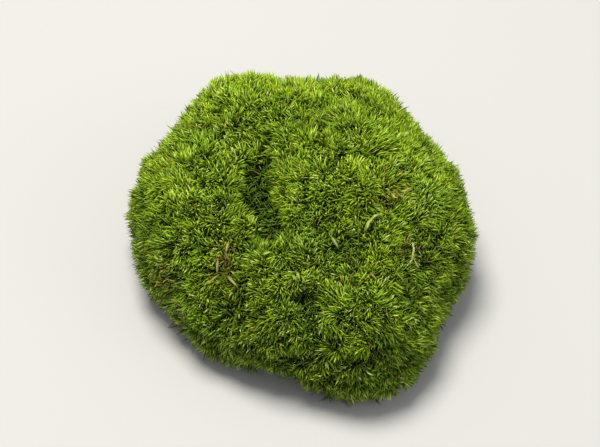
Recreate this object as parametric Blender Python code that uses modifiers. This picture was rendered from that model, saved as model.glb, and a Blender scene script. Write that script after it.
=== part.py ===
"""A clump of cushion moss: one lobed, tufted mound cut off flat underneath, with two dry bits caught in it.

Metres, +Z up. The origin is the centre of the flat underside. -Y is the side that faced the viewer.
"""

import bmesh
import bpy
from mathutils import Vector
from mathutils.bvhtree import BVHTree

# Driving dimensions, in metres
GRID = 0.0019  # spacing of the surface's faces while it is shaped
PIT_GRID = 0.0009  # the same for the pits that are cut into it
KEPT_FACES = 0.36  # share of them that is kept once it is shaped
CREASE_SOFTENING = 8  # smoothing passes over the joints between lobes
LUMP_HEIGHT = 0.0032  # gentle unevenness of the whole mound
LUMP_SPACING = 0.020
TUFT_HEIGHT = 0.0034  # the tufts that the shoots make
TUFT_SPACING = 0.0080
GAP = 0.0003  # between a dry bit and the moss round it

# Each lobe is an ellipsoid: centre, then half widths along X, Y and Z. The whole is centred afterwards.
LOBES = {
    "body": ((0.001, -0.001, 0.020), (0.0495, 0.059, 0.038)),
    "main_dome": ((0.0105, -0.002, 0.022), (0.039, 0.045, 0.042)),
    "right_lobe": ((0.029, -0.006, 0.018), (0.0265, 0.0325, 0.037)),
    "left_lobe": ((-0.033, 0.000, 0.019), (0.030, 0.0385, 0.035)),
    "back_left_lobe": ((-0.0195, 0.0245, 0.019), (0.0315, 0.030, 0.037)),
    "back_middle_lobe": ((-0.005, 0.017, 0.020), (0.029, 0.031, 0.0390)),
    "back_right_lobe": ((0.012, 0.024, 0.019), (0.027, 0.029, 0.036)),
    "front_lobe": ((0.014, -0.0315, 0.017), (0.030, 0.0335, 0.035)),
    "front_left_lobe": ((-0.018, -0.023, 0.015), (0.032, 0.029, 0.031)),
}

# Pits between the lobes, where the moss is open and dark
PITS = {
    "crease_top": ((-0.0184, -0.0025, 0.0530), (0.0042, 0.0062, 0.0100)),
    "crease_middle": ((-0.0180, -0.0108, 0.0510), (0.0046, 0.0082, 0.0125)),
    "crease_foot": ((-0.0150, -0.0218, 0.0520), (0.0050, 0.0068, 0.0100)),
    "dead_hollow": ((-0.0282, -0.0351, 0.0435), (0.0050, 0.0045, 0.0055)),
    "front_slot_upper": ((-0.0042, -0.0453, 0.0425), (0.0042, 0.0036, 0.0055)),
    "front_slot_lower": ((0.0006, -0.0513, 0.0420), (0.0040, 0.0040, 0.0050)),
    "right_pit": ((0.0230, -0.0173, 0.0605), (0.0040, 0.0032, 0.0050)),
}

# A dry bit's line is given from above: its points' X and Y, which are then laid on the moss
STALK_THICKNESS = 0.0011
STALK_LINE = [(0.0200, -0.0252), (0.0212, -0.0229), (0.0232, -0.0213), (0.0260, -0.0201)]
TWIG_THICKNESS = 0.0009
TWIG_LINE = [(0.0352, -0.0248), (0.0355, -0.0275), (0.0353, -0.0300), (0.0328, -0.0336)]
TWIG_FORK_LINE = [(0.0353, -0.0300), (0.0362, -0.0314), (0.0373, -0.0326)]
SINK = 0.45  # share of a dry bit's thickness that lies below the tips of the moss

MOSS_GREEN = (0.17, 0.28, 0.03, 1.0)
STRAW_YELLOW = (0.62, 0.55, 0.27, 1.0)
TWIG_BUFF = (0.60, 0.52, 0.34, 1.0)


def clear_scene():
    for obj in list(bpy.data.objects):
        bpy.data.objects.remove(obj)


def new_collection(name):
    found = bpy.data.collections.new(name)
    bpy.context.scene.collection.children.link(found)
    return found


def plain_material(name, colour, roughness):
    material = bpy.data.materials.new(name)
    material.use_nodes = True
    shader = material.node_tree.nodes["Principled BSDF"]
    shader.inputs["Base Color"].default_value = colour
    shader.inputs["Roughness"].default_value = roughness
    shader.inputs["Metallic"].default_value = 0.0
    return material


def move_to(obj, collection):
    for old in list(obj.users_collection):
        old.objects.unlink(obj)
    collection.objects.link(obj)


def ellipsoid(name, centre, radii, collection):
    bpy.ops.mesh.primitive_ico_sphere_add(subdivisions=4, radius=1.0, location=centre)
    obj = bpy.context.object
    obj.name = name
    obj.scale = radii
    bpy.ops.object.transform_apply(location=True, rotation=False, scale=True)
    move_to(obj, collection)
    return obj


def joined(objects, name):
    bpy.ops.object.select_all(action="DESELECT")
    for obj in objects:
        obj.select_set(True)
    bpy.context.view_layer.objects.active = objects[0]
    bpy.ops.object.join()
    objects[0].name = name
    return objects[0]


def apply_all(obj):
    """The object's mesh becomes what its modifiers make of it."""
    graph = bpy.context.evaluated_depsgraph_get()
    mesh = bpy.data.meshes.new_from_object(obj.evaluated_get(graph))
    obj.modifiers.clear()
    obj.data = mesh
    obj.data.name = obj.name


def boolean(obj, other, operation):
    modifier = obj.modifiers.new(other.name, "BOOLEAN")
    modifier.operation = operation
    modifier.object = other
    other.hide_render = True
    other.display_type = "WIRE"


def add_remesh(obj, name, grid):
    modifier = obj.modifiers.new(name, "REMESH")
    modifier.mode = "VOXEL"
    modifier.voxel_size = grid


def add_displacement(obj, name, kind, spacing, height):
    texture = bpy.data.textures.new(name, kind)
    texture.noise_scale = spacing
    modifier = obj.modifiers.new(name, "DISPLACE")
    modifier.texture = texture
    modifier.texture_coords = "LOCAL"
    modifier.strength = height
    modifier.mid_level = 0.5
    return texture


def cut_flat_underneath(obj):
    """Takes away what lies below Z 0 and closes the cut with one flat face."""
    mesh = bmesh.new()
    mesh.from_mesh(obj.data)
    bmesh.ops.bisect_plane(
        mesh,
        geom=mesh.verts[:] + mesh.edges[:] + mesh.faces[:],
        dist=1e-6,
        plane_co=(0, 0, 0),
        plane_no=(0, 0, 1),
        clear_inner=True,
    )
    rim = [edge for edge in mesh.edges if edge.is_boundary]
    bmesh.ops.contextual_create(mesh, geom=rim)
    bmesh.ops.triangulate(mesh, faces=[f for f in mesh.faces if len(f.verts) > 4])
    bmesh.ops.recalc_face_normals(mesh, faces=mesh.faces[:])
    mesh.to_mesh(obj.data)
    mesh.free()


def centre_on_origin(obj):
    corners = [Vector(corner) for corner in obj.bound_box]
    low = Vector(map(min, *corners))
    high = Vector(map(max, *corners))
    middle = (low + high) / 2
    for vertex in obj.data.vertices:
        vertex.co.x -= middle.x
        vertex.co.y -= middle.y
    obj.data.update()


def fused(shapes, name, grid, collection):
    """One closed object of all the ellipsoids, with even faces."""
    pieces = [ellipsoid(key, centre, radii, collection) for key, (centre, radii) in shapes.items()]
    obj = joined(pieces, name)
    add_remesh(obj, "grown_together", grid)
    return obj


def make_moss(parts, helpers):
    """The mound: lobes grown into one, with tufts all over it."""
    moss = fused(LOBES, "moss_cushion", GRID, parts)
    boolean(moss, fused(PITS, "pits", PIT_GRID, helpers), "DIFFERENCE")
    add_remesh(moss, "even_faces", GRID)
    softened = moss.modifiers.new("soft_creases", "SMOOTH")
    softened.factor = 0.5
    softened.iterations = CREASE_SOFTENING
    add_displacement(moss, "lumps", "CLOUDS", LUMP_SPACING, LUMP_HEIGHT)
    tufts = add_displacement(moss, "tufts", "VORONOI", TUFT_SPACING, -TUFT_HEIGHT)
    tufts.distance_metric = "DISTANCE"
    thinned = moss.modifiers.new("fewer_faces", "DECIMATE")
    thinned.ratio = KEPT_FACES
    apply_all(moss)

    cut_flat_underneath(moss)
    centre_on_origin(moss)
    moss.data.materials.clear()
    moss.data.materials.append(plain_material("moss_green", MOSS_GREEN, 0.9))
    moss.data.shade_smooth()
    return moss


def laid_on(moss, line, sink):
    """The line's points on top of the moss, each lowered by sink."""
    mesh = bmesh.new()
    mesh.from_mesh(moss.data)
    surface = BVHTree.FromBMesh(mesh)
    mesh.free()
    above = 0.2
    points = []
    for x, y in line:
        hit = surface.ray_cast(Vector((x, y, above)), Vector((0, 0, -1)))[0]
        points.append(Vector((x, y, hit.z - sink)))
    return points


def tube(name, points, thickness, collection):
    """A tube with closed ends along a smooth line, tapering a little to its far end."""
    curve = bpy.data.curves.new(name, "CURVE")
    curve.dimensions = "3D"
    curve.resolution_u = 3
    curve.bevel_depth = thickness / 2
    curve.bevel_resolution = 1
    curve.use_fill_caps = True
    spline = curve.splines.new("BEZIER")
    spline.bezier_points.add(len(points) - 1)
    for index, (bezier, point) in enumerate(zip(spline.bezier_points, points)):
        bezier.co = point
        bezier.handle_left_type = bezier.handle_right_type = "AUTO"
        bezier.radius = 1.0 - 0.3 * index / (len(points) - 1)
    guide = bpy.data.objects.new(name + "_line", curve)
    collection.objects.link(guide)

    graph = bpy.context.evaluated_depsgraph_get()
    mesh = bpy.data.meshes.new_from_object(guide.evaluated_get(graph))
    welded = bmesh.new()
    welded.from_mesh(mesh)
    bmesh.ops.remove_doubles(welded, verts=welded.verts[:], dist=1e-6)
    bmesh.ops.recalc_face_normals(welded, faces=welded.faces[:])
    welded.to_mesh(mesh)
    welded.free()
    obj = bpy.data.objects.new(name, mesh)
    obj.matrix_world = guide.matrix_world
    collection.objects.link(obj)
    bpy.data.objects.remove(guide)
    return obj


def make_dry_bit(name, lines, thickness, moss, material, parts, helpers):
    """A stalk, or a twig of several lines grown into one, in a groove that it pressed in the moss."""
    sink = thickness * (SINK - 0.5)
    routes = [laid_on(moss, line, sink) for line in lines]
    pieces = []
    for index, route in enumerate(routes):
        where = parts if index == 0 else helpers
        pieces.append(tube(name if index == 0 else f"{name}_{index}", route, thickness, where))
    for branch in pieces[1:]:
        boolean(pieces[0], branch, "UNION")
    pieces[0].data.materials.clear()
    pieces[0].data.materials.append(material)
    pieces[0].data.shade_smooth()
    grooves = [
        tube(f"{name}_groove_{index}", route, thickness + 2 * GAP, helpers)
        for index, route in enumerate(routes)
    ]
    return pieces[0], grooves


def main():
    clear_scene()
    parts = new_collection("moss_clump")
    helpers = new_collection("helpers")
    moss = make_moss(parts, helpers)
    straw = plain_material("dry_straw", STRAW_YELLOW, 0.6)
    buff = plain_material("dry_twig_bark", TWIG_BUFF, 0.7)
    _, stalk_grooves = make_dry_bit(
        "dry_stalk", [STALK_LINE], STALK_THICKNESS, moss, straw, parts, helpers
    )
    _, twig_grooves = make_dry_bit(
        "forked_twig", [TWIG_LINE, TWIG_FORK_LINE], TWIG_THICKNESS, moss, buff, parts, helpers
    )
    for groove in stalk_grooves + twig_grooves:
        boolean(moss, groove, "DIFFERENCE")


main()
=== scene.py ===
import math
import random

import bmesh
import bpy
import numpy as np
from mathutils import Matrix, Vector, noise
from mathutils.bvhtree import BVHTree


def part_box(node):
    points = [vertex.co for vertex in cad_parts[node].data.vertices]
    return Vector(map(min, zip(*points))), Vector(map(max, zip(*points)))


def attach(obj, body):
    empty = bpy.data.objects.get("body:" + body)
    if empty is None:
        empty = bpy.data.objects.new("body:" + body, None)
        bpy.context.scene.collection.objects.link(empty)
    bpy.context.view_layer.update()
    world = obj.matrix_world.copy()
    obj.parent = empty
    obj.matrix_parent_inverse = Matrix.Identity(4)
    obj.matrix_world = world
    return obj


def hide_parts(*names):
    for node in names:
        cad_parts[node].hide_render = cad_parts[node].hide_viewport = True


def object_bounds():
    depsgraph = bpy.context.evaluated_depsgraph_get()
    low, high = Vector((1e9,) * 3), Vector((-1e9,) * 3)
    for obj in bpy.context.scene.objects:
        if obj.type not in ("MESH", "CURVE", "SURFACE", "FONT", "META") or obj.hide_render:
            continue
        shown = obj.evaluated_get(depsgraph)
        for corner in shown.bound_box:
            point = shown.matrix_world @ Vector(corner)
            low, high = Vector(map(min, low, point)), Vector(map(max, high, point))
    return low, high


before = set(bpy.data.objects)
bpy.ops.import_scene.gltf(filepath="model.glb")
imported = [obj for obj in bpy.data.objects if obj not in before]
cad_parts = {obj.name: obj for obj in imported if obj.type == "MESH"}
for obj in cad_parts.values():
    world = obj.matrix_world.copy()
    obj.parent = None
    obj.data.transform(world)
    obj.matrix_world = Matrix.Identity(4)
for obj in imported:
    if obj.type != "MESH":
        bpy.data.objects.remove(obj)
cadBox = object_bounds()  # the box of the solids, which nothing here may outgrow
upAxis = Vector((0, 0, 1))
overAll = 0.2  # a height above the whole clump, to look down from
underAll = -0.01  # and one below it, to look up from
noise.seed_set(5)  # without a seed, its vectors change from run to run


# Small helpers for selecting, welding, modifiers and surfaces
def pickOnly(obj):
    bpy.ops.object.select_all(action="DESELECT")
    obj.select_set(True)
    bpy.context.view_layer.objects.active = obj


def weld(obj, turnOutwards):
    pickOnly(obj)
    bpy.ops.object.mode_set(mode="EDIT")
    bpy.ops.mesh.select_all(action="SELECT")
    bpy.ops.mesh.remove_doubles(threshold=1e-6)
    if turnOutwards:
        bpy.ops.mesh.normals_make_consistent(inside=False)
    bpy.ops.object.mode_set(mode="OBJECT")


def applyModifier(obj, kind, **settings):
    pickOnly(obj)
    modifier = obj.modifiers.new(kind.lower(), kind)
    for name, value in settings.items():
        setattr(modifier, name, value)
    bpy.ops.object.modifier_apply(modifier=modifier.name)


def copyOfNode(nodeName, newName):
    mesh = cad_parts[nodeName].data.copy()
    obj = bpy.data.objects.new(newName, mesh)
    bpy.context.scene.collection.objects.link(obj)
    weld(obj, turnOutwards=False)
    return obj


def surfaceOf(obj):
    graph = bpy.context.evaluated_depsgraph_get()
    return BVHTree.FromObject(obj, graph)


# Shader sockets that can be added, multiplied and so on like numbers
class Wire:
    def __init__(self, bench, socket):
        self.bench = bench
        self.socket = socket

    def maths(self, operation, first, second):
        return self.bench.node("ShaderNodeMath", {"operation": operation}, {0: first, 1: second})

    def __add__(self, other):
        return self.maths("ADD", self, other)

    def __radd__(self, other):
        return self.maths("ADD", other, self)

    def __sub__(self, other):
        return self.maths("SUBTRACT", self, other)

    def __rsub__(self, other):
        return self.maths("SUBTRACT", other, self)

    def __mul__(self, other):
        return self.maths("MULTIPLY", self, other)

    def __rmul__(self, other):
        return self.maths("MULTIPLY", other, self)

    def __pow__(self, other):
        return self.maths("POWER", self, other)


# One material's node tree
class Bench:
    def __init__(self, name):
        self.material = bpy.data.materials.new(name)
        self.material.use_nodes = True
        self.tree = self.material.node_tree
        self.surface = self.tree.nodes["Principled BSDF"]

    def plug(self, socket, value):
        if isinstance(value, Wire):
            self.tree.links.new(value.socket, socket)
        else:
            socket.default_value = value

    def node(self, kind, settings, values, output=0):
        made = self.tree.nodes.new(kind)
        for name, value in settings.items():
            if name == "stops":
                ramp = made.color_ramp
                while len(ramp.elements) < len(value):
                    ramp.elements.new(0.5)
                for element, (place, colour) in zip(ramp.elements, value):
                    element.position = place
                    element.color = (*colour, 1.0)
            else:
                setattr(made, name, value)
        for key, value in values.items():
            self.plug(made.inputs[key], value)
        return Wire(self, made.outputs[output])

    def finish(self, **values):
        for name, value in values.items():
            self.plug(self.surface.inputs[name.replace("_", " ")], value)
        return self.material

    def attribute(self, label):
        return self.node("ShaderNodeAttribute", {"attribute_name": label}, {}, "Fac")

    def objectPlace(self):
        return self.node("ShaderNodeTexCoord", {}, {}, "Object")

    def speckle(self, place, scale, detail, distortion=0.0):
        values = {"Vector": place, "Scale": scale, "Detail": detail, "Distortion": distortion}
        return self.node("ShaderNodeTexNoise", {}, values)

    def bump(self, height, strength, distance):
        values = {"Height": height, "Strength": strength, "Distance": distance}
        return self.node("ShaderNodeBump", {}, values)

    def ramp(self, factor, stops):
        return self.node("ShaderNodeValToRGB", {"stops": stops}, {0: factor})

    def blend(self, factor, first, second):
        return self.node(
            "ShaderNodeMix",
            {"data_type": "RGBA", "clamp_factor": True},
            {0: factor, 6: first, 7: second},
            2,
        )


# Camera: where the photograph was taken from, with a longer lens that frames the clump
camera = {
    "place": (0.002, -0.343, 0.4833),
    "aim": (0.0, -0.003, 0.027),
    "lens": 104.0,
    "sensor": 36.0,
}


def makeCamera():
    bpy.ops.object.camera_add(location=camera["place"])
    obj = bpy.context.object
    obj.name = "camera"
    obj.data.sensor_width = camera["sensor"]
    obj.data.lens = camera["lens"]
    view = Vector(camera["aim"]) - Vector(camera["place"])
    obj.rotation_euler = view.to_track_quat("-Z", "Y").to_euler()
    bpy.context.scene.camera = obj
    print("camera set")


# Floor and lights: pale and plain
studio = {
    "floorSize": 6.0,
    "floorColour": (0.44, 0.435, 0.425, 1.0),
    "floorRoughness": 0.85,
    "skyColour": (0.95, 0.97, 1.0, 1.0),
    "skyStrength": 0.50,
    "aim": (0, 0, 0.03),
    "lamps": [
        # name, place, size, power, colour
        ("overhead", (-0.12, 0.10, 0.95), 0.40, 14.0, (1.0, 0.97, 0.90)),
        ("side_fill", (0.9, -0.3, 0.6), 0.8, 2.0, (0.96, 0.98, 1.0)),
    ],
}


def makeStudio():
    bpy.ops.mesh.primitive_plane_add(size=studio["floorSize"])
    floor = bpy.context.object
    floor.name = "floor"
    bench = Bench("pale_floor")
    floor.data.materials.append(
        bench.finish(Base_Color=studio["floorColour"], Roughness=studio["floorRoughness"])
    )

    world = bpy.data.worlds.new("soft_sky")
    world.use_nodes = True
    sky = world.node_tree.nodes["Background"]
    sky.inputs["Color"].default_value = studio["skyColour"]
    sky.inputs["Strength"].default_value = studio["skyStrength"]
    bpy.context.scene.world = world

    for name, place, size, power, colour in studio["lamps"]:
        bpy.ops.object.light_add(type="AREA", location=place)
        lamp = bpy.context.object
        lamp.name = name
        lamp.data.shape = "DISK"
        lamp.data.size = size
        lamp.data.energy = power
        lamp.data.color = colour
        aim = Vector(studio["aim"]) - Vector(place)
        lamp.rotation_euler = aim.to_track_quat("-Z", "Y").to_euler()
    bpy.context.scene.view_settings.view_transform = "Standard"
    print("studio set")


# The dark bed of old stems that the shoots stand in: above the foot its near-black green is painted shade,
# seen between the shoots
bed = {
    "depth": 0.0050,  # below the tips of the shoots
    "grain": 0.0018,  # of its mesh
    "smoothing": 12,
    "foot": 0.0006,  # the underside's height, so that its fibres fit beneath
    "edge": 0.0050,  # height over which the depth fades in from the underside
    # painted shade: the near-black green that shows between the shoots; the brown is the old stems' own
    # colour at the foot
    "darkGreenAsShade": [(0.35, (0.003, 0.006, 0.001)), (0.65, (0.016, 0.026, 0.003))],
    "brown": [(0.30, (0.020, 0.012, 0.005)), (0.70, (0.110, 0.068, 0.028))],
    "greenAbove": 0.013,
    "brownBelow": 0.004,
    "border": 0.006,  # how far the border between the two wavers
    "borderScale": 60.0,
    "fibreScale": 420.0,
    "relief": 0.0006,
    "roughness": 0.95,
    "gloss": 0.1,
}


def makeBed():
    obj = copyOfNode("moss_cushion", "moss_bed")
    tipSurface = surfaceOf(obj)
    applyModifier(obj, "REMESH", mode="VOXEL", voxel_size=bed["grain"])
    unsmoothed = [vertex.co.copy() for vertex in obj.data.vertices]
    applyModifier(obj, "SMOOTH", iterations=bed["smoothing"])
    mesh = obj.data
    for vertex, before in zip(mesh.vertices, unsmoothed):
        nearest, facing = tipSurface.find_nearest(vertex.co)[:2]
        if (vertex.co - nearest).dot(facing) > 0:  # here smoothing would fill a pit
            vertex.co = before
    mesh.update()
    normals = [vertex.normal.copy() for vertex in mesh.vertices]
    for vertex, normal in zip(mesh.vertices, normals):
        rise = min(1.0, max(0.0, vertex.co.z / bed["edge"]))
        vertex.co -= Vector((normal.x, normal.y, normal.z * rise)) * bed["depth"]
        vertex.co.z = max(vertex.co.z, bed["foot"])
    mesh.update()
    applyModifier(obj, "REMESH", mode="VOXEL", voxel_size=bed["grain"])
    for vertex in obj.data.vertices:
        if vertex.co.z < bed["foot"] + bed["grain"] / 2:
            vertex.co.z = bed["foot"]
    obj.data.shade_smooth()
    obj.data.materials.clear()
    obj.data.materials.append(bedMaterial())
    print("bed:", len(obj.data.polygons), "faces")
    return obj


def bedMaterial():
    bench = Bench("old_stems_and_shade")
    place = bench.objectPlace()
    stems = bench.speckle(place, bed["fibreScale"], detail=4.0, distortion=1.2)
    patch = bench.speckle(place, bed["borderScale"], detail=2.0)
    height = bench.node("ShaderNodeSeparateXYZ", {}, {0: place}, "Z")
    low = bench.node(
        "ShaderNodeMapRange",
        {"interpolation_type": "SMOOTHSTEP"},
        {
            "Value": height + patch * bed["border"],
            "From Min": bed["greenAbove"],
            "From Max": bed["brownBelow"],
        },
    )
    # The green is painted shade between the shoots, the brown the old stems at the foot
    green, brown = (bench.ramp(stems, bed[key]) for key in ("darkGreenAsShade", "brown"))
    return bench.finish(
        Base_Color=bench.blend(low, green, brown),
        Roughness=bed["roughness"],
        Specular_IOR_Level=bed["gloss"],
        Normal=bench.bump(stems, strength=0.8, distance=bed["relief"]),
    )


# Strands: leaves, stems and root fibres are all bent spindles, grown from rows of numbers
strand = {
    "mostMoved": 0.0030,  # to bring it inside the solids' box, and one that needs more is left out
    "movedExtra": 1.001,  # times what would just do
    "mapMargins": (0.02, 0.01),  # along the strand, and up the tones
    "mapWidth": 0.008,
}


def strandShape(rings, thickness):
    # Modelled once along Z, three-sided, of length and width 1, with a point at each end
    widest = rings[0][0]
    close = 1e-4
    bpy.ops.object.select_all(action="DESELECT")
    bpy.ops.mesh.primitive_cone_add(
        vertices=3, radius1=0.5, radius2=0.0, depth=1.0 - widest,
        location=(0, 0, (1.0 + widest) / 2), end_fill_type="TRIFAN",
    )
    obj = bpy.context.object
    bpy.ops.object.transform_apply(location=True, rotation=True, scale=True)
    bpy.ops.object.mode_set(mode="EDIT")
    bpy.ops.mesh.select_all(action="DESELECT")
    mesh = bmesh.from_edit_mesh(obj.data)
    for vertex in mesh.verts:
        vertex.select_set(vertex.co.z < widest + close and vertex.co.xy.length < close)
    bmesh.update_edit_mesh(obj.data)
    bpy.ops.transform.translate(value=(0, 0, -widest))
    for place, _ in rings[1:]:
        bpy.ops.mesh.select_all(action="SELECT")
        bpy.ops.mesh.bisect(plane_co=(0, 0, place), plane_no=(0, 0, 1))
    bpy.ops.mesh.select_all(action="SELECT")
    bpy.ops.mesh.quads_convert_to_tris()
    bpy.ops.mesh.normals_make_consistent(inside=False)
    bpy.ops.object.mode_set(mode="OBJECT")
    points = np.array([vertex.co for vertex in obj.data.vertices])
    faces = np.array([face.vertices for face in obj.data.polygons])
    bpy.data.objects.remove(obj)
    # Each ring is brought to its own width, and the section is flattened
    along, across, thick = points[:, 2], points[:, 0], points[:, 1]
    for place, width in rings:
        ring = np.abs(along - place) < close
        along[ring] = place
        stretch = 0.5 * width / np.hypot(across[ring], thick[ring]).max()
        across[ring] *= stretch
        thick[ring] *= stretch
    along[np.abs(along) < close] = 0.0
    return {"along": along, "across": across, "thick": thick * thickness, "faces": faces}


def unit(vectors):
    return vectors / np.maximum(np.linalg.norm(vectors, axis=-1, keepdims=True), 1e-9)


def column(values):
    return np.asarray(values)[:, None]


def eitherWay(rng, most, count):
    return rng.uniform(-most, most, count)


def bendStrands(strands, shape):
    # Each strand leaves its foot at an angle from its axis, curls on, and is swept to one side
    axis, out, sweep = strands["axis"], strands["out"], strands["sweep"]
    cosTwist, sinTwist = column(np.cos(strands["twist"])), column(np.sin(strands["twist"]))
    centre = strands["foot"].copy()
    rings = {}
    before = 0.0
    for height in np.unique(shape["along"]):
        middle = (before + height) / 2
        for place in (middle, height):
            angle = column(strands["spread"] + strands["curl"] * place)
            way = unit(axis * np.cos(angle) + out * np.sin(angle) + sweep * place)
            if place == middle:
                centre = centre + way * column(strands["length"]) * (height - before)
        face = axis * np.sin(angle) - out * np.cos(angle)
        face = unit(face - way * (face * way).sum(axis=1, keepdims=True))
        side = np.cross(way, face)
        rings[height] = (centre, face * cosTwist - side * sinTwist, side * cosTwist + face * sinTwist)
        before = height
    width = column(strands["width"])
    corners = []
    for height, across, thick in zip(shape["along"], shape["across"], shape["thick"]):
        centre, face, side = rings[height]
        corners.append(centre + face * thick * width + side * across * width)
    return np.stack(corners, axis=1)


def pushInside(points):
    # A strand that would poke out of the solids' box is moved in
    low, high = (np.array(corner) for corner in cadBox)
    over = np.maximum(points - high, 0).max(axis=1) - np.maximum(low - points, 0).max(axis=1)
    keep = np.abs(over).max(axis=1) < strand["mostMoved"]
    return points - over[:, None, :] * strand["movedExtra"], keep


def meshOfStrands(name, points, tones, shape, material):
    # The map is laid out by what a strand's colour depends on: its tone, and the way along it
    count, corners = points.shape[:2]
    triangles = (shape["faces"][None] + (np.arange(count) * corners)[:, None, None]).reshape(-1, 3)
    along = np.tile(shape["along"], count)
    sideways = np.tile(shape["across"], count)
    tone = np.repeat(tones, corners)
    mesh = bpy.data.meshes.new(name)
    mesh.vertices.add(count * corners)
    mesh.vertices.foreach_set("co", points.astype(np.float32).ravel())
    mesh.loops.add(triangles.size)
    mesh.loops.foreach_set("vertex_index", triangles.astype(np.int32).ravel())
    mesh.polygons.add(len(triangles))
    mesh.polygons.foreach_set("loop_start", np.arange(0, triangles.size, 3, dtype=np.int32))
    mesh.polygons.foreach_set("use_smooth", np.ones(len(triangles), dtype=bool))
    for label, values in (("along", along), ("tone", tone)):
        layer = mesh.attributes.new(label, "FLOAT", "POINT")
        layer.data.foreach_set("value", values.astype(np.float32))
    alongMargin, toneMargin = strand["mapMargins"]
    spots = np.stack([
        alongMargin + (1 - 2 * alongMargin) * along,
        toneMargin + (1 - 2 * toneMargin) * tone + strand["mapWidth"] * sideways,
    ], axis=1)
    layer = mesh.uv_layers.new(name="OFBake")
    layer.uv.foreach_set("vector", spots[triangles.ravel()].astype(np.float32).ravel())
    mesh.update(calc_edges=True)
    mesh.materials.append(material)
    obj = bpy.data.objects.new(name, mesh)
    bpy.context.scene.collection.objects.link(obj)
    print(name + ":", len(triangles), "faces")
    return obj


# Where strands stand: darts are thrown at a mesh, and one that lands too close to another is dropped
scattering = {
    "throws": 12,  # for each square as wide as the spacing
    "quickSpacing": 2.0,
    "underFacing": -0.7,  # a face is underside if it faces down more than this,
    "underHeight": 0.001,  # and lies lower than this
}


def scatter(obj, spacing, seed, underneath=False):
    mesh = obj.data
    mesh.calc_loop_triangles()
    spots = np.array([vertex.co for vertex in mesh.vertices])
    a, b, c = (spots[[face.vertices[i] for face in mesh.loop_triangles]] for i in range(3))
    facing = np.cross(b - a, c - a)
    area = np.linalg.norm(facing, axis=1) / 2
    facing = unit(facing)
    below = (facing[:, 2] < scattering["underFacing"]) & (c[:, 2] < scattering["underHeight"])
    area[below != underneath] = 0.0
    rng = np.random.default_rng(seed)
    throws = int(scattering["throws"] * area.sum() / spacing**2)
    chosen = rng.choice(len(area), size=throws, p=area / area.sum())
    first, second = rng.random((2, len(chosen), 1))
    folded = first + second > 1
    first, second = np.where(folded, 1 - first, first), np.where(folded, 1 - second, second)
    darts = a[chosen] + (b - a)[chosen] * first + (c - a)[chosen] * second
    cells = {}
    kept = []
    for index, (dart, key) in enumerate(zip(darts, np.floor(darts / spacing).astype(int).tolist())):
        x, y, z = key
        near = [
            cells[(i, j, k)]
            for i in (x - 1, x, x + 1)
            for j in (y - 1, y, y + 1)
            for k in (z - 1, z, z + 1)
            if (i, j, k) in cells
        ]
        if all((dart - other) @ (dart - other) > spacing**2 for other in near):
            cells[(x, y, z)] = dart
            kept.append(index)
    return darts[kept], facing[chosen[kept]]


# Shoots: where they stand, which way they lean, and where they are old, hollow or dead
shoots = {
    "seed": 7,
    "spacing": 0.00215,  # between one shoot's tip and the next
    "lowest": 0.0012,  # no shoot ends lower
    "mostTriangles": 190000,  # in one piece
    "skinGrain": 0.0022,
    "skinSmoothing": 60,
    "lean": 0.32,  # how far the leaning noise tips a shoot, and twice that near the foot
    "leanScale": 100.0,
    "upright": 0.15,  # how far a shoot turns up to the light
    "facing": 0.25,  # how far a shoot turns from the skin's facing to the solid's
    "hollowFacing": 0.5,  # added to that in a pit, where shoots grow out of its walls
    "sweepScale": 150.0,  # of the noise that turns the leaves of a shoot to one side
    "sweepLeast": 0.25,
    "sweepMost": 1.15,
    "sweepJitter": 0.45,
    "hollowDepth": 0.0035,  # a shoot this far below its neighbours is short, and painted dark as shade
    "brownBelow": 0.0100,  # height under which more and more leaves are brown
    "brownFoot": 0.45,  # share of them that is brown at the very foot
    "lowBelow": 0.046,  # height under which the moss is painted darker, as shade on the lower flank
    "lowShadeTone": 0.21,
    # painted shade in the hollows
    "hollowShadeTone": 0.10,
    "pitShadeTone": 0.12,  # painted shade of the deepest hollows, on top of the last
    "sunkDepth": 0.0060,  # how far a shoot sinks for each whole step of tone that its spot is darker
    "gaps": 0.75,  # how much of that the darker shoots between two tufts get,
    "gapsTop": 0.5,  # times this at the top
    "gapsFoot": 1.3,  # and this much more at the foot
    "patchTone": 0.04,  # of broad patches
    "tuftLightAndShade": 0.15,  # painted light on the tops of single tufts and painted shade between them, at the top
    "tuftFoot": 1.8,  # times that, how much more it is at the foot
    "shootTone": 0.08,  # of single shoots at the top, and twice that at the foot
    "toneSpread": 0.100,  # between the leaves of a shoot at the top, and twice that at the foot
    "patchScale": 38.0,
    "tuftScale": 200.0,
    "warmth": 0.60,  # share of the leaves that is of the warmer green
    "warmthLow": 0.25,  # taken off that share at the foot
    "warmthHollow": 0.35,
    "warmthPatches": 0.5,  # how far it varies from patch to patch
    "warmthScale": 70.0,
    "vigour": (0.90, 1.08),  # least and most, of the leaves' length
    "hollowVigour": 0.25,  # how much shorter they are in hollows
}

# Patches of the top that are dead or faded: centre, radius, how far they have gone
deadPatches = [
    ((-0.0243, -0.0239, 0.0447), 0.0024, 0.90),
    ((-0.0249, -0.0272, 0.0432), 0.0025, 1.00),
    ((-0.0250, -0.0298, 0.0405), 0.0022, 0.95),
    ((-0.0450, -0.0265, 0.0290), 0.0060, 0.55),
    ((0.0290, -0.0119, 0.0567), 0.0050, 0.50),
    ((0.0370, -0.0290, 0.0460), 0.0045, 0.40),
]
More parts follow.
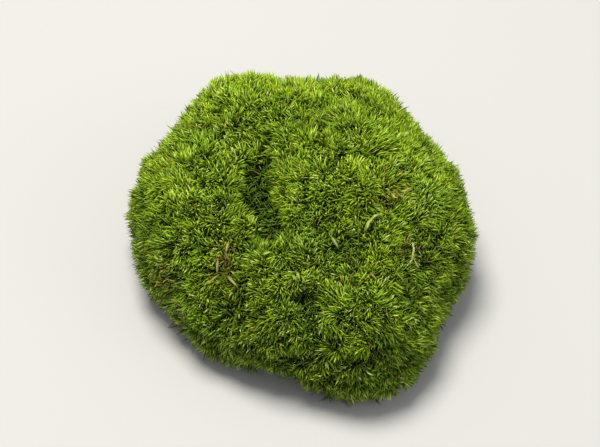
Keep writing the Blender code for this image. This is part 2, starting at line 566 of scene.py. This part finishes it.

# Light and shade painted on the moss: paler where light falls brightly (above 0), or darker as painted
# shade and sunk (below 0): centre, radius, change of tone
litAndShadedSpots = [
    ((0.0312, -0.0062, 0.0595), 0.0075, 0.10),
    ((0.0219, 0.0002, 0.0614), 0.0050, 0.05),
    ((0.0103, -0.0088, 0.0626), 0.0070, 0.12),
    ((-0.0314, -0.0109, 0.0512), 0.0060, 0.05),
    ((0.0408, -0.0133, 0.0508), 0.0060, 0.06),
    ((0.0038, -0.0217, 0.0540), 0.0045, 0.12),
    ((-0.0004, -0.0396, 0.0456), 0.0028, 0.34),
    ((-0.0250, -0.0285, 0.0425), 0.0030, 0.22),
    ((-0.0241, -0.0351, 0.0399), 0.0026, -0.36),
    ((-0.0094, -0.0044, 0.0559), 0.0055, -0.22),
    ((-0.0051, -0.0249, 0.0519), 0.0045, -0.19),
    ((-0.0154, -0.0236, 0.0485), 0.0045, -0.24),
    ((-0.0185, -0.0312, 0.0430), 0.0045, -0.20),
    ((-0.0200, -0.0436, 0.0337), 0.0050, -0.26),
    ((0.0018, -0.0458, 0.0388), 0.0040, -0.26),
    ((0.0155, -0.0314, 0.0516), 0.0055, -0.28),
    ((0.0342, -0.0358, 0.0446), 0.0050, -0.24),
    ((0.0408, -0.0239, 0.0441), 0.0045, -0.20),
    ((0.0391, -0.0398, 0.0368), 0.0040, -0.20),
    ((0.0281, -0.0581, 0.0280), 0.0060, -0.26),
    ((0.0063, 0.0183, 0.0594), 0.0090, -0.17),
    ((-0.0033, 0.0153, 0.0588), 0.0055, -0.14),
    ((0.0275, 0.0239, 0.0540), 0.0060, -0.16),
    ((-0.0494, -0.0157, 0.0375), 0.0070, -0.16),
    # in and beside the slit
    ((-0.0148, 0.0034, 0.0475), 0.0040, -0.30),
    ((-0.0155, -0.0054, 0.0430), 0.0038, -0.30),
    ((-0.0122, -0.0085, 0.0425), 0.0034, -0.26),
    ((-0.0078, -0.0171, 0.0456), 0.0030, -0.26),
    ((-0.0144, -0.0201, 0.0448), 0.0030, -0.24),
    # in the pit near the front
    ((0.0030, -0.0480, 0.0378), 0.0028, -0.24),
]


def smoothSkin():
    obj = copyOfNode("moss_cushion", "smooth_skin")
    applyModifier(obj, "REMESH", mode="VOXEL", voxel_size=shoots["skinGrain"])
    applyModifier(obj, "SMOOTH", iterations=shoots["skinSmoothing"])
    surface = surfaceOf(obj)
    bpy.data.objects.remove(obj)
    return surface


def howLow(tip):
    return max(0.0, 1.0 - tip.z / shoots["lowBelow"])


def nearness(tip, centre, radius):
    away = (tip - Vector(centre)).length / radius
    return math.exp(-away * away)


def howSunk(tip):
    # How far the shoots end below the solid's surface, between tufts and at the darker spots
    gap = max(0.0, -noise.noise(tip * shoots["tuftScale"]))
    sunk = shoots["gaps"] * (shoots["gapsTop"] + shoots["gapsFoot"] * howLow(tip)) * gap
    for centre, radius, change in litAndShadedSpots:
        sunk = max(sunk, -change * nearness(tip, centre, radius))
    return sunk * shoots["sunkDepth"]


def planShoots(skin):
    solid = copyOfNode("moss_cushion", "tip_surface")
    tips, facings = scatter(solid, shoots["spacing"], shoots["seed"])
    bpy.data.objects.remove(solid)
    high = tips[:, 2] > shoots["lowest"]
    rng = random.Random(shoots["seed"])
    jitter = shoots["sweepJitter"]
    rows = []
    for tip, facing in zip(tips[high], facings[high]):
        tip, facing = Vector(tip), Vector(facing)
        nearest, skinNormal = skin.find_nearest(tip)[:2]
        relief = (tip - nearest).dot(skinNormal)
        hollow = min(1.0, max(0.0, -relief / shoots["hollowDepth"]))
        pit = min(1.0, max(0.0, -relief / shoots["hollowDepth"] - 1.0))
        low = howLow(tip)

        lean = noise.noise_vector(tip * shoots["leanScale"]) * (1.0 + low)
        outward = skinNormal.lerp(facing, shoots["facing"] + shoots["hollowFacing"] * hollow)
        axis = (outward + lean * shoots["lean"] + upAxis * shoots["upright"]).normalized()
        sweep = noise.noise_vector(tip * shoots["sweepScale"])
        sweep += Vector([rng.uniform(-jitter, jitter) for _ in range(3)])
        sweep = (sweep - axis * sweep.dot(axis)).normalized()
        sweep *= rng.uniform(shoots["sweepLeast"], shoots["sweepMost"])

        tone = shoots["patchTone"] * noise.noise(tip * shoots["patchScale"])
        # Painted light and shade: the noise that sinks the gaps between tufts also darkens them and
        # lightens the tufts' tops
        tuftShading = shoots["tuftLightAndShade"] * (1.0 + shoots["tuftFoot"] * low)
        tone += tuftShading * noise.noise(tip * shoots["tuftScale"])
        tone += shoots["shootTone"] * (1.0 + low) * rng.gauss(0, 1)
        # Painted shade: darker in hollows, darker still in pits, and darker on the lower flank
        tone -= shoots["hollowShadeTone"] * hollow + shoots["pitShadeTone"] * pit + shoots["lowShadeTone"] * low
        # painted light and shade of the listed spots
        for centre, radius, change in litAndShadedSpots:
            tone += change * nearness(tip, centre, radius)
        spread = shoots["toneSpread"] * (1.0 + low)
        warmth = shoots["warmth"] - shoots["warmthLow"] * low - shoots["warmthHollow"] * hollow
        warmth += shoots["warmthPatches"] * noise.noise(tip * shoots["warmthScale"])
        brown = shoots["brownFoot"] * max(0.0, 1.0 - tip.z / shoots["brownBelow"])
        for centre, radius, amount in deadPatches:
            brown = max(brown, amount * nearness(tip, centre, radius))

        vigour = rng.uniform(*shoots["vigour"]) * (1.0 - shoots["hollowVigour"] * hollow)
        tip -= axis * howSunk(tip)
        rows.append((*tip, *axis, *sweep, vigour, tone, brown, spread, warmth, low))
    rows = np.array(rows)
    print("shoots:", len(rows))
    return {
        "tip": rows[:, 0:3], "axis": rows[:, 3:6], "sweep": rows[:, 6:9],
        "vigour": rows[:, 9], "tone": rows[:, 10], "brown": rows[:, 11],
        "spread": rows[:, 12], "warmth": rows[:, 13], "low": rows[:, 14],
    }


# Leaves: narrow, keeled, and curved to one side on each shoot
leaf = {
    "seed": 21,
    "each": 20,  # leaves on a shoot
    "length": 0.0068,
    "lengthSpread": (0.82, 1.06),
    "topShorter": 0.2,
    "width": 0.00105,
    "widthSpread": (0.75, 1.2),
    "thickness": 0.34,  # of the width
    "rings": [(0.33, 1.0), (0.70, 0.60)],  # share of the length, share of the width
    "reach": 0.80,  # of its length, how high the top leaf stands over its foot
    "turn": 2.39996,  # round the stem, from one leaf to the next: the golden angle, in radians
    "spreadLow": 0.95,  # angle from the stem of the lowest leaf, in radians
    "spreadTop": 0.12,
    "spreadJitter": 0.18,
    "curl": 0.35,
    "curlSpread": (-0.9, 1.0),
    "twist": 0.6,
    "stretch": 0.0042,  # length of stem below the foot of the top leaf
    "bearing": 0.75,  # share of that stretch that bears leaves
    "stemWidth": 0.0006,
    "stemEnd": 0.0032,  # below the shoot's tip
    "stemSweep": 0.3,  # of the leaves' sweep
    "stemShades": (0.1, 0.6),
    "tone": 0.48,
    "pale": 0.09,  # share of the leaves that are much paler: partly pale leaves, partly painted highlights whose whitened tips stand in for glints
    "paleSheenLow": 0.09,  # added to that share near the foot, as painted grey highlights there
    "paler": 0.40,
    "dull": 0.10,  # share that is much darker
    "duller": 0.28,
    "oldest": 0.004,  # share that is brown anywhere
    "oldestLow": 0.06,  # added to that share among the lowest leaves of a shoot,
    "lowest": 0.2,  # which are this share of them
    "greening": 1.2,  # the power of the way along at which the tip's colour comes in
    "footRoughness": 0.62,
    "tipSmoother": 0.18,
    "gloss": 0.24,
    # Each kind of colour has a band of tones: its start and end, then its colours from dark to pale,
    # at the foot of a leaf and at its tip
    "bands": {
        # The palest tips of both green bands are whitened, the cool one's bluish: painted highlights,
        # glints of the sky
        "cool": (
            0.02, 0.25,
            [(0.008, 0.016, 0.001), (0.030, 0.060, 0.002), (0.065, 0.120, 0.004), (0.115, 0.180, 0.020)],
            [(0.044, 0.088, 0.001), (0.145, 0.272, 0.002), (0.335, 0.555, 0.014), (0.570, 0.710, 0.250)],
        ),
        "warm": (
            0.29, 0.52,
            [(0.010, 0.016, 0.001), (0.036, 0.062, 0.001), (0.075, 0.125, 0.002), (0.130, 0.180, 0.015)],
            [(0.055, 0.092, 0.001), (0.172, 0.277, 0.001), (0.392, 0.575, 0.002), (0.700, 0.770, 0.120)],
        ),
        "dead": (
            0.56, 0.76,
            [(0.026, 0.020, 0.003), (0.090, 0.070, 0.009), (0.190, 0.155, 0.028)],
            [(0.078, 0.054, 0.007), (0.310, 0.250, 0.028), (0.500, 0.540, 0.140)],
        ),
        "root": (
            0.80, 0.98,
            [(0.030, 0.018, 0.009), (0.110, 0.066, 0.032)],
            [(0.060, 0.036, 0.018), (0.260, 0.165, 0.085)],
        ),
    },
}


def bandStops(which):
    stops = []
    for start, end, *colourSets in leaf["bands"].values():
        colours = colourSets[which]
        for index, colour in enumerate(colours):
            stops.append((start + (end - start) * index / (len(colours) - 1), colour))
    return stops


def leafMaterial():
    bench = Bench("moss_leaf")
    along = bench.attribute("along")
    tone = bench.attribute("tone")
    foot, tip = (bench.ramp(tone, bandStops(which)) for which in (0, 1))
    return bench.finish(
        Base_Color=bench.blend(along ** leaf["greening"], foot, tip),
        Roughness=leaf["footRoughness"] - leaf["tipSmoother"] * along,
        Specular_IOR_Level=leaf["gloss"],
    )


def tonesOf(shade, band):
    start, end = leaf["bands"][band][:2]
    return start + (end - start) * np.clip(shade, 0, 1)


def growLeaves(plan):
    rng = np.random.default_rng(leaf["seed"])
    each = leaf["each"]
    count = len(plan["tip"])
    shape = (count, each)
    tip, axis, sweep = (plan[key][:, None] for key in ("tip", "axis", "sweep"))
    vigour, low = (plan[key][:, None] for key in ("vigour", "low"))
    aslant = (0.31, 0.52, 0.79)  # no shoot's axis lies this way
    side = unit(np.cross(axis, aslant))
    other = np.cross(axis, side)
    level = (np.arange(each) + rng.random(shape)) / each  # 0 at the lowest leaf, 1 at the top one
    turn = rng.uniform(0, math.tau, (count, 1)) + leaf["turn"] * np.arange(each)
    length = leaf["length"] * vigour * rng.uniform(*leaf["lengthSpread"], shape)
    length *= 1.0 - leaf["topShorter"] * level
    sunk = leaf["stretch"] * (1.0 - level) * leaf["bearing"] + leaf["length"] * leaf["reach"] * vigour

    chance = rng.random(shape)
    shade = leaf["tone"] + plan["tone"][:, None] + plan["spread"][:, None] * rng.normal(0, 1, shape)
    # The paler leaves are partly painted highlights
    isPaleWithSheen = chance < leaf["pale"] + leaf["paleSheenLow"] * low
    isDull = chance > 1 - leaf["dull"]
    shade += np.where(isPaleWithSheen, leaf["paler"], 0.0) - np.where(isDull, leaf["duller"], 0.0)
    old = leaf["oldest"] + leaf["oldestLow"] * (level < leaf["lowest"]) + plan["brown"][:, None]
    isWarm = rng.random(shape) < plan["warmth"][:, None]
    green = np.where(isWarm, tonesOf(shade, "warm"), tonesOf(shade, "cool"))

    spread = leaf["spreadLow"] + (leaf["spreadTop"] - leaf["spreadLow"]) * level
    grid = {
        "foot": tip - axis * sunk[..., None],
        "axis": np.broadcast_to(axis, (*shape, 3)),
        "out": side * np.cos(turn)[..., None] + other * np.sin(turn)[..., None],
        "sweep": np.broadcast_to(sweep, (*shape, 3)),
        "length": length,
        "spread": spread + eitherWay(rng, leaf["spreadJitter"], shape),
        "curl": leaf["curl"] * rng.uniform(*leaf["curlSpread"], shape),
        "twist": eitherWay(rng, leaf["twist"], shape),
        "width": leaf["width"] * rng.uniform(*leaf["widthSpread"], shape),
        "tone": np.where(rng.random(shape) < old, tonesOf(shade, "dead"), green),
    }
    leaves = {key: values.reshape(-1, *values.shape[2:]) for key, values in grid.items()}
    stems = {
        "foot": plan["tip"] - plan["axis"] * (leaf["length"] + leaf["stretch"]),
        "axis": plan["axis"],
        "out": side[:, 0],
        "sweep": plan["sweep"] * leaf["stemSweep"],
        "length": np.full(count, leaf["length"] + leaf["stretch"] - leaf["stemEnd"]),
        "spread": np.zeros(count),
        "curl": np.zeros(count),
        "twist": np.zeros(count),
        "width": np.full(count, leaf["stemWidth"]),
        "tone": tonesOf(rng.uniform(*leaf["stemShades"], count), "dead"),
    }
    print("leaves:", len(leaves["length"]))
    return {key: np.concatenate([leaves[key], stems[key]]) for key in leaves}


# The room that the leaves leave round the two dry bits
dryBits = {
    "nodes": ("dry_stalk", "forked_twig"),
    "reach": 0.002,  # only leaves within this of a bit's box are tried
    "through": 0.0005,  # a leaf that comes closer would run through the bit
    "over": 0.0016,  # a leaf that comes closer from above would hide it
    "keptOver": 3,  # one in so many of those stays
}


def clearOfDryBits(points, shape):
    keep = np.ones(len(points), dtype=bool)
    reach = dryBits["reach"]
    for name in dryBits["nodes"]:
        low, high = (np.array(corner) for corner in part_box(name))
        near = ((points.max(axis=1) > low - reach) & (points.min(axis=1) < high + reach)).all(axis=1)
        surface = surfaceOf(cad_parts[name])
        for index in np.flatnonzero(near):
            inner = points[index][shape["faces"]].mean(axis=1)
            for point in np.concatenate([points[index], inner]):
                spot, _, _, away = surface.find_nearest(Vector(point))
                hides = away < dryBits["over"] and point[2] > spot.z and index % dryBits["keptOver"]
                if away < dryBits["through"] or hides:
                    keep[index] = False
                    break
    return keep


def makeShoots(skin, material):
    shape = strandShape(leaf["rings"], leaf["thickness"])
    strands = growLeaves(planShoots(skin))
    points, keep = pushInside(bendStrands(strands, shape))
    keep &= clearOfDryBits(points, shape)
    print("strands kept:", int(keep.sum()), "of", len(keep))
    points = points[keep]
    tones = strands["tone"][keep]
    # Shared out by direction round the clump, so that each piece is one wedge of it
    middle = points.mean(axis=1)
    order = np.argsort(np.arctan2(middle[:, 1], middle[:, 0]))
    pieces = math.ceil(len(order) * len(shape["faces"]) / shoots["mostTriangles"])
    return [
        meshOfStrands(f"shoots_{index + 1}", points[group], tones[group], shape, material)
        for index, group in enumerate(np.array_split(order, pieces))
    ]


# Old leaves that lie on the bed, seen between the shoots and in the hollows
thatch = {
    "seed": 5,
    "spacing": 0.0021,
    "pitSpacing": 0.0010,  # in the pits, whose walls show
    "pitDepth": 0.0062,  # of the bed below the smooth skin, from which it counts as a pit
    "lift": 0.0004,
    "length": 0.0058,
    "width": 0.0010,
    "sizeSpread": (0.7, 1.2),
    "spread": (0.2, 1.1),
    "curl": (-1.0, 0.2),
    "twist": 0.9,
    "brown": 0.15,  # share of them that is brown
    "pitBrown": 0.04,  # that share in the pits
    "brownShades": (0.0, 0.7),
    "greenShades": (0.1, 0.5),
    "pitPaintedShade": 0.6,  # painted shade: how dark they are in the pits, as a share of the rest
}


def inPits(spots, skin):
    depths = []
    for spot in spots:
        nearest, normal = skin.find_nearest(Vector(spot))[:2]
        depths.append((nearest - Vector(spot)).dot(normal))
    return np.array(depths) > thatch["pitDepth"]


def makeThatch(mossBed, skin, material):
    shape = strandShape(leaf["rings"], leaf["thickness"])
    foot, facing = scatter(mossBed, thatch["spacing"], thatch["seed"])
    pitFoot, pitFacing = scatter(mossBed, thatch["pitSpacing"], thatch["seed"] + 1)
    deep = inPits(pitFoot, skin)
    foot = np.concatenate([foot, pitFoot[deep]])
    facing = np.concatenate([facing, pitFacing[deep]])
    print("old leaves:", len(foot), "of which in pits:", int(deep.sum()))
    rng = np.random.default_rng(thatch["seed"])
    count = len(foot)
    inPit = inPits(foot, skin)
    brown = np.where(inPit, thatch["pitBrown"], thatch["brown"])
    # painted shade on the old leaves in the pits
    shade = np.where(inPit, thatch["pitPaintedShade"], 1.0)
    strands = {
        "foot": foot + facing * thatch["lift"],
        "axis": unit(np.cross(facing, rng.normal(size=(count, 3)))),
        "out": facing,
        "sweep": np.zeros((count, 3)),
        "length": thatch["length"] * rng.uniform(*thatch["sizeSpread"], count),
        "spread": rng.uniform(*thatch["spread"], count),
        "curl": rng.uniform(*thatch["curl"], count),
        "twist": eitherWay(rng, thatch["twist"], count),
        "width": thatch["width"] * rng.uniform(*thatch["sizeSpread"], count),
        "tone": np.where(
            rng.random(count) < brown,
            tonesOf(rng.uniform(*thatch["brownShades"], count) * shade, "dead"),
            tonesOf(rng.uniform(*thatch["greenShades"], count) * shade, "cool"),
        ),
    }
    points, keep = pushInside(bendStrands(strands, shape))
    keep &= clearOfDryBits(points, shape)
    return meshOfStrands("old_leaves", points[keep], strands["tone"][keep], shape, material)


# A few leaves that fell across the top, dead or pale: X and Y of foot and tip, kind of colour, shade in it
strayLeaves = {
    "seed": 3,
    "width": 0.00125,
    "lift": -0.0007,  # a little below the shoots' tips, which give way
    "overlong": 1.1,  # how much longer than straight from foot to tip
    "spread": 0.25,
    "curl": -0.5,
    "twist": 0.4,
    "leaves": [
        ((-0.0245, -0.0313), (-0.0293, -0.0339), "dead", 0.85),
        ((-0.0233, -0.0319), (-0.0190, -0.0370), "dead", 0.95),
        ((-0.0255, -0.0276), (-0.0258, -0.0315), "dead", 0.90),
        ((-0.0221, -0.0228), (-0.0231, -0.0266), "dead", 1.00),
        ((-0.0239, -0.0258), (-0.0214, -0.0290), "dead", 0.45),
        ((-0.0122, -0.0312), (-0.0086, -0.0300), "warm", 0.90),
        ((-0.0026, -0.0370), (-0.0007, -0.0391), "warm", 0.85),
        ((-0.0010, -0.0363), (0.0001, -0.0390), "warm", 0.95),
        ((0.0005, -0.0376), (0.0020, -0.0396), "warm", 0.80),
        ((0.0094, -0.0273), (0.0120, -0.0300), "cool", 0.95),
    ],
}


def makeStrayLeaves(material):
    shape = strandShape(leaf["rings"], leaf["thickness"])
    surface = surfaceOf(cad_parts["moss_cushion"])
    rng = np.random.default_rng(strayLeaves["seed"])
    feet, tips, tones = [], [], []
    for foot, tip, band, shade in strayLeaves["leaves"]:
        for (x, y), spots in ((foot, feet), (tip, tips)):
            spot = surface.ray_cast(Vector((x, y, overAll)), -upAxis)[0]
            spots.append((x, y, spot.z - howSunk(spot) + strayLeaves["lift"]))
        tones.append(float(tonesOf(shade, band)))
    feet, tips, tones = (np.array(values) for values in (feet, tips, tones))
    count = len(feet)
    axis = unit(tips - feet)
    side = unit(np.cross(axis, upAxis))
    strands = {
        "foot": feet,
        "axis": axis,
        "out": np.cross(side, axis),
        "sweep": np.zeros((count, 3)),
        "length": np.linalg.norm(tips - feet, axis=1) * strayLeaves["overlong"],
        "spread": np.full(count, strayLeaves["spread"]),
        "curl": np.full(count, strayLeaves["curl"]),
        "twist": eitherWay(rng, strayLeaves["twist"], count),
        "width": np.full(count, strayLeaves["width"]),
    }
    points, keep = pushInside(bendStrands(strands, shape))
    return meshOfStrands("stray_leaves", points[keep], tones[keep], shape, material)


# The underside: a thin mat of brown root fibres and old stems, where the moss was cut from the ground
rootMat = {
    "seed": 9,
    "spacing": 0.0028,
    "heights": (0.0003, 0.0008),  # of the fibres over the cut
    "length": 0.0130,
    "width": 0.00040,
    "sizeSpread": (0.6, 1.4),
    "rings": [(0.15, 1.0), (0.38, 0.9), (0.62, 0.9), (0.84, 0.7)],
    "spread": 0.5,
    "curl": 1.8,
    "twist": 0.5,
    "rim": 0.05,  # at this distance from the middle the fibres head inwards
    "rimTurn": 0.6,  # how much of their own heading they lose there
}


def makeRootMat(mossBed, material):
    shape = strandShape(rootMat["rings"], 1.0)
    foot, _ = scatter(mossBed, rootMat["spacing"], rootMat["seed"], underneath=True)
    rng = np.random.default_rng(rootMat["seed"])
    count = len(foot)
    inward = unit(-foot * (1, 1, 0))
    heading = rng.uniform(0, math.tau, count)
    atRim = column((np.linalg.norm(foot[:, :2], axis=1) / rootMat["rim"]).clip(0, 1) ** 3)
    axis = np.stack([np.cos(heading), np.sin(heading), np.zeros(count)], axis=1)
    axis = unit(axis * (1 - rootMat["rimTurn"] * atRim) + inward * atRim)
    foot[:, 2] = rng.uniform(*rootMat["heights"], count)
    strands = {
        "foot": foot,
        "axis": axis,
        "out": np.cross(axis, upAxis),
        "sweep": np.zeros((count, 3)),
        "length": rootMat["length"] * rng.uniform(*rootMat["sizeSpread"], count),
        "spread": eitherWay(rng, rootMat["spread"], count),
        "curl": eitherWay(rng, rootMat["curl"], count),
        "twist": eitherWay(rng, rootMat["twist"], count),
        "width": rootMat["width"] * rng.uniform(*rootMat["sizeSpread"], count),
        "tone": tonesOf(rng.uniform(0.0, 1.0, count), "root"),
    }
    points, keep = pushInside(bendStrands(strands, shape))
    # None of them shows outside the cut
    surface = surfaceOf(mossBed)
    for index, corners in enumerate(points):
        for x, y, _ in corners:
            spot = surface.ray_cast(Vector((x, y, underAll)), upAxis)[0]
            if spot is None or spot.z > 2 * bed["foot"]:
                keep[index] = False
    return meshOfStrands("root_mat", points[keep], strands["tone"][keep], shape, material)


# The two dry bits that lie in the top: split fibres that keep to the lines of their solids
straw = {
    "node": "dry_stalk",
    "seed": 4,
    # Seen from above: X and Y of the points of each line, how many fibres it has, and their thickness
    # at its start and at its end
    "lines": [
        ([(0.0200, -0.0252), (0.0212, -0.0229), (0.0232, -0.0213), (0.0260, -0.0201)], 7, 0.00075, 0.00040),
        ([(0.0219, -0.0222), (0.0206, -0.0219), (0.0194, -0.0222)], 2, 0.00045, 0.00025),
    ],
    "fray": 0.00055,
    "sink": 0.0011,  # deeper than its solid, so that it rests on the leaves
    "colours": [(0.30, (0.13, 0.16, 0.012)), (0.55, (0.30, 0.36, 0.040)), (0.75, (0.42, 0.49, 0.085))],
    "grain": 900.0,
}
twig = {
    "node": "forked_twig",
    "seed": 8,
    "lines": [
        ([(0.0352, -0.0248), (0.0355, -0.0275), (0.0353, -0.0300)], 4, 0.00040, 0.00060),
        ([(0.0353, -0.0296), (0.0348, -0.0313), (0.0328, -0.0336)], 3, 0.00055, 0.00030),
        ([(0.0353, -0.0298), (0.0362, -0.0314), (0.0373, -0.0326)], 2, 0.00040, 0.00022),
    ],
    "fray": 0.00035,
    "sink": 0.0005,
    "colours": [(0.30, (0.12, 0.13, 0.028)), (0.55, (0.30, 0.33, 0.095)), (0.75, (0.48, 0.51, 0.18))],
    "grain": 1100.0,
}
fibre = {
    "points": 9,
    "starts": (0.0, 0.14),  # share of the way along the line
    "ends": (0.80, 1.0),
    "thickness": (0.6, 1.1),
    "inset": 0.4,  # of its thickness, below the top of the solid
    "pastEdge": 0.06,  # height from which a point past the solid's edge is led to its nearest spot
    "aside": 0.5,  # of the fray, how far it lies to one side
    "turned": 1.6,  # of the fray, how far it crosses from side to side
    "raised": 0.35,  # of the fray
    "bluntness": 5,
    "thinnest": 0.12,  # of its thickness, at its ends
    "roughness": 0.00010,  # how far its surface wavers
    "roughScale": 1800.0,
    "relief": 0.0002,
    "dullness": 0.6,
}


def alongLine(spots, place):
    # A point of the line, place going from 0 at its start to 1 at its end
    steps = np.linalg.norm(np.diff(spots, axis=0), axis=1)
    reached = np.concatenate([[0.0], np.cumsum(steps)]) / steps.sum()
    return np.array([np.interp(place, reached, spots[:, axis]) for axis in range(spots.shape[1])])


def lineOnTop(surface, line, inset, sink):
    # The line seen from above, laid on the solid's top and then lowered
    spots = []
    for x, y in line:
        top = surface.ray_cast(Vector((x, y, overAll)), -upAxis)[0]
        if top is None:  # just past the solid's edge
            top = surface.find_nearest(Vector((x, y, fibre["pastEdge"])))[0]
        spots.append((x, y, top.z - inset - sink))
    return np.array(spots)


def makeFibre(spots, thickStart, thickEnd, fray, rng):
    first, last = rng.uniform(*fibre["starts"]), rng.uniform(*fibre["ends"])
    aside, turned, raised = (rng.uniform(-1, 1) * fray for _ in range(3))
    thickness = rng.uniform(*fibre["thickness"])
    bpy.ops.curve.primitive_nurbs_path_add()
    curve = bpy.context.object.data
    spline = curve.splines[0]
    spline.points.add(fibre["points"] - len(spline.points))
    step = 0.05  # of the line, to either side of a point, which gives its heading there
    for index, point in enumerate(spline.points):
        share = index / (fibre["points"] - 1)
        place = first + (last - first) * share
        ahead = alongLine(spots, min(1.0, place + step)) - alongLine(spots, max(0.0, place - step))
        side = unit(np.array([-ahead[1], ahead[0], 0.0]))
        sideways = fibre["aside"] * aside + turned * (place - 0.5) * fibre["turned"]
        rise = np.array([0.0, 0.0, fibre["raised"] * raised])
        point.co = (*(alongLine(spots, place) + side * sideways + rise), 1.0)
        blunt = (1.0 - abs(2 * share - 1) ** fibre["bluntness"]) ** 0.5
        wide = thickStart + (thickEnd - thickStart) * place
        point.radius = max(fibre["thinnest"], blunt) * wide * thickness / thickStart
    spline.order_u = 3
    spline.use_endpoint_u = True
    curve.resolution_u = 3
    curve.bevel_depth = thickStart / 2
    curve.bevel_resolution = 1
    curve.use_fill_caps = True
    bpy.ops.object.convert(target="MESH")
    return bpy.context.object


def makeFibres(name, bit):
    surface = surfaceOf(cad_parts[bit["node"]])
    rng = random.Random(bit["seed"])
    made = []
    for line, count, thickStart, thickEnd in bit["lines"]:
        spots = lineOnTop(surface, line, fibre["inset"] * thickStart, bit["sink"])
        for _ in range(count):
            made.append(makeFibre(spots, thickStart, thickEnd, bit["fray"], rng))
    bpy.ops.object.select_all(action="DESELECT")
    for obj in made:
        obj.select_set(True)
    bpy.context.view_layer.objects.active = made[0]
    bpy.ops.object.join()
    obj = bpy.context.object
    obj.name = name
    weld(obj, turnOutwards=True)
    for vertex in obj.data.vertices:
        vertex.co += noise.noise_vector(vertex.co * fibre["roughScale"]) * fibre["roughness"]
    bpy.ops.object.shade_smooth()
    obj.data.materials.clear()
    obj.data.materials.append(dryMaterial(bit["node"] + "_finish", bit["colours"], bit["grain"]))
    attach(obj, "root")
    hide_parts(bit["node"])
    print(name + ":", len(obj.data.polygons), "faces")
    return obj


def dryMaterial(name, colours, scale):
    bench = Bench(name)
    grain = bench.speckle(bench.objectPlace(), scale, detail=3.0)
    return bench.finish(
        Base_Color=bench.ramp(grain, colours),
        Roughness=fibre["dullness"],
        Normal=bench.bump(grain, strength=0.5, distance=fibre["relief"]),
    )


makeCamera()
makeStudio()
mossBed = makeBed()
skin = smoothSkin()
leafFinish = leafMaterial()
mossPieces = [
    mossBed,
    *makeShoots(skin, leafFinish),
    makeThatch(mossBed, skin, leafFinish),
    makeStrayLeaves(leafFinish),
    makeRootMat(mossBed, leafFinish),
]
for piece in mossPieces:
    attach(piece, "root")
    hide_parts("moss_cushion")
makeFibres("straw_fibres", straw)
makeFibres("twig_fibres", twig)
